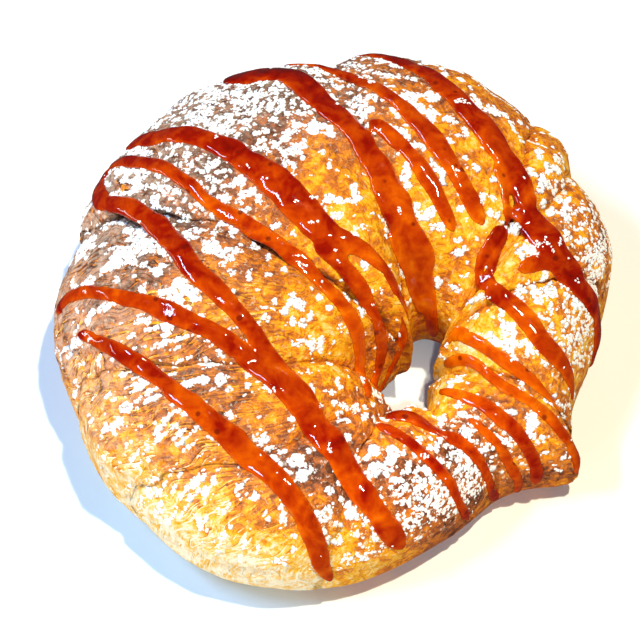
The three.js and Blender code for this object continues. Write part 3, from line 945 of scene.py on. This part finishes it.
def paleFloorMaterial():
    s = Shader("paleFloor")
    # painted shadow colours, fading away from the spots where the shade falls
    cool = s.ease(s.distance(floorLook["coolShadeSpot"]), *floorLook["coolReach"])
    warm = s.ease(s.distance(floorLook["warmShadeSpot"]), *floorLook["warmReach"], floorLook["warmShare"], 0.0)
    colour = s.ramp(cool, [(0.0, floorLook["cool"]), (1.0, floorLook["pale"])])
    colour = s.blend(warm, colour, floorLook["warm"])
    return s.finish({"Base Color": colour, "Roughness": floorLook["rough"],
                     "Specular IOR Level": floorLook["gloss"], "Emission Color": floorLook["glow"],
                     "Emission Strength": floorLook["glowPower"]})


def makeStage():
    clearSelection()
    bpy.ops.mesh.primitive_plane_add(size=floorLook["size"], location=(0, 0, floorLook["below"]))
    floor = bpy.context.active_object
    floor.name = "floor"
    floor.data.materials.append(paleFloorMaterial())
    floor.visible_glossy = False


lighting = {
    "aim": (0, 0, 0.02),
    "sun": {"spot": (0.17, -0.06, 0.89), "size": (0.03, 0.03), "power": 7.9,
            "colour": (1.0, 0.92, 0.70), "gloss": True},
    "window": {"spot": (-0.49, -0.02, 0.80), "size": (0.40, 0.09), "power": 6.8,
               "colour": (0.42, 0.66, 1.0), "gloss": True},
    "sill": {"spot": (-0.80, 0.10, 0.14), "size": (0.50, 0.03), "power": 1.3,
             "colour": (0.80, 0.90, 1.0), "gloss": True},
    "front": {"spot": (-0.47, -0.58, 0.17), "size": (0.45, 0.30), "power": 3.0,
              "colour": (1.0, 0.90, 0.76), "gloss": False},
    "pin": {"spot": (0.016, -0.44, 0.68), "aim": (0.016, -0.016, 0.0), "wide": 3.2, "soft": 0.02, "power": 22,
            "colour": (1.0, 0.97, 0.90), "gloss": False},     # a narrow one into the hole
    "sky": {"colour": (0.95, 0.96, 1.0), "power": 0.06},
}


def addLamp(name, kind):
    look = lighting[name]
    bpy.ops.object.light_add(type=kind, location=look["spot"])
    lamp = bpy.context.active_object
    lamp.name = name
    lamp.data.energy, lamp.data.color = look["power"], look["colour"]
    lamp.visible_glossy = look["gloss"]
    aim = Vector(look.get("aim", lighting["aim"]))
    lamp.rotation_euler = (aim - Vector(look["spot"])).to_track_quat("-Z", "Y").to_euler()
    return lamp.data


def makeLights():
    for name in ("sun", "window", "sill", "front"):
        lamp = addLamp(name, "AREA")
        lamp.shape = "RECTANGLE"
        lamp.size, lamp.size_y = lighting[name]["size"]
    pin = addLamp("pin", "SPOT")
    pin.spot_size, pin.spot_blend = math.radians(lighting["pin"]["wide"]), 1.0
    pin.shadow_soft_size = lighting["pin"]["soft"]
    world = bpy.data.worlds.new("studio")
    world.use_nodes = True
    back = world.node_tree.nodes["Background"]
    back.inputs["Color"].default_value = (*lighting["sky"]["colour"], 1)
    back.inputs["Strength"].default_value = lighting["sky"]["power"]
    bpy.context.scene.world = world


# the photograph looks along +Y from 58 degrees above, from half a metre
view = {"aim": (-4.1, -0.85, 18.0), "rise": 58, "away": 500, "lens": 117.6, "sensor": 36, "nearest": 0.01}


def makeCamera():
    rise = math.radians(view["rise"])
    aim = Vector(view["aim"]) * mm
    spot = aim + Vector((0, -math.cos(rise), math.sin(rise))) * view["away"] * mm
    bpy.ops.object.camera_add(location=spot, rotation=(math.pi / 2 - rise, 0, 0))
    cam = bpy.context.active_object
    cam.data.lens, cam.data.sensor_width = view["lens"], view["sensor"]
    cam.data.clip_start = view["nearest"]
    bpy.context.scene.camera = cam


makeStage()
makeLights()
makeCamera()
bpy.context.scene.view_settings.view_transform = "Standard"
print("stage, lights and camera ready")
